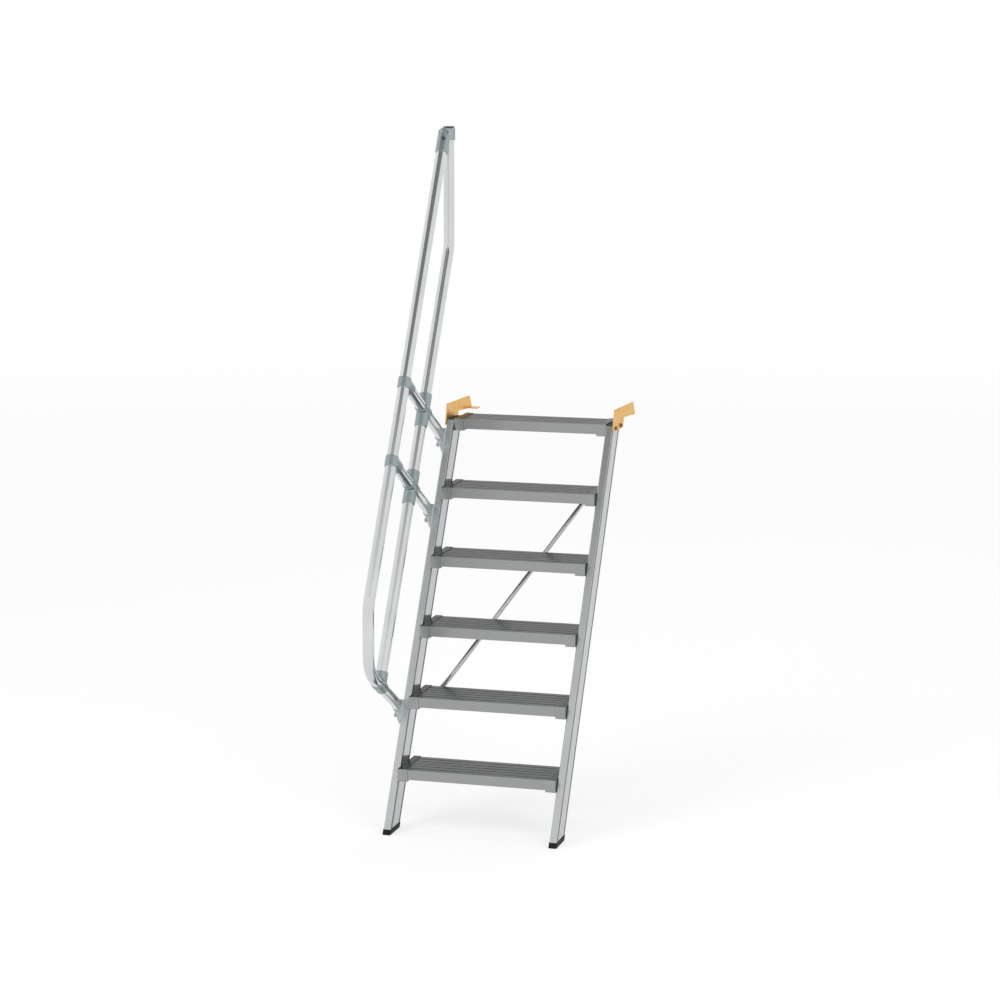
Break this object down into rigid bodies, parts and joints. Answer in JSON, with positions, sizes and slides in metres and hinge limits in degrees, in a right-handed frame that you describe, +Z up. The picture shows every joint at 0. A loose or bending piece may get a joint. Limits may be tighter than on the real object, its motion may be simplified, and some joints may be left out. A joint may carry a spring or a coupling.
{
  "type": "industrial stair",
  "caption": "Six-tread aluminium stair at 60 degrees with a tube handrail on the left and two landing hooks.",
  "frame": {"origin": "middle of the underside of the left landing hook's foot, at the landing level", "axes": "+Z up, +Y away from the climber and over the landing, +X to the climber's right"},
  "size_m": [0.7176, 1.2509, 2.534],
  "materials": {
    "extruded_aluminium": "satin",
    "ribbed_aluminium": "satin",
    "tread_shoe": "satin",
    "rail_tube": "satin",
    "cast_fitting": "matte",
    "zinc_steel": "satin",
    "yellow_zinc_steel": "satin",
    "black_plastic": "matte"
  },
  "bodies": {
    "root": {"brace": "zinc_steel", "handrail": "rail_tube", "handrail_tee_middle": "cast_fitting", "handrail_tee_upper": "cast_fitting", "knee_cross_middle": "cast_fitting", "knee_cross_upper": "cast_fitting", "knee_rail": "rail_tube", "knee_tee_lower": "cast_fitting", "left_foot_cap": "black_plastic", "left_hook_bolts": "zinc_steel", "left_landing_hook": "yellow_zinc_steel", "left_stringer": "extruded_aluminium", "left_top_cap": "black_plastic", "lower_socket": "cast_fitting", "middle_socket": "cast_fitting", "middle_strut_inner": "rail_tube", "middle_strut_outer": "rail_tube", "right_foot_cap": "black_plastic", "right_hook_bolts": "zinc_steel", "right_landing_hook": "yellow_zinc_steel", "right_stringer": "extruded_aluminium", "right_top_cap": "black_plastic", "top_connector": "cast_fitting", "top_plug": "black_plastic", "tread_1": "ribbed_aluminium", "tread_1_left_shoe": "tread_shoe", "tread_1_right_shoe": "tread_shoe", "tread_2": "ribbed_aluminium", "tread_2_left_shoe": "tread_shoe", "tread_2_right_shoe": "tread_shoe", "tread_3": "ribbed_aluminium", "tread_3_left_shoe": "tread_shoe", "tread_3_right_shoe": "tread_shoe", "tread_4": "ribbed_aluminium", "tread_4_left_shoe": "tread_shoe", "tread_4_right_shoe": "tread_shoe", "tread_5": "ribbed_aluminium", "tread_5_left_shoe": "tread_shoe", "tread_5_right_shoe": "tread_shoe", "tread_6": "ribbed_aluminium", "tread_6_left_shoe": "tread_shoe", "tread_6_right_shoe": "tread_shoe", "upper_socket": "cast_fitting", "upper_strut_inner": "rail_tube", "upper_strut_outer": "rail_tube"}
  },
  "joints": []
}
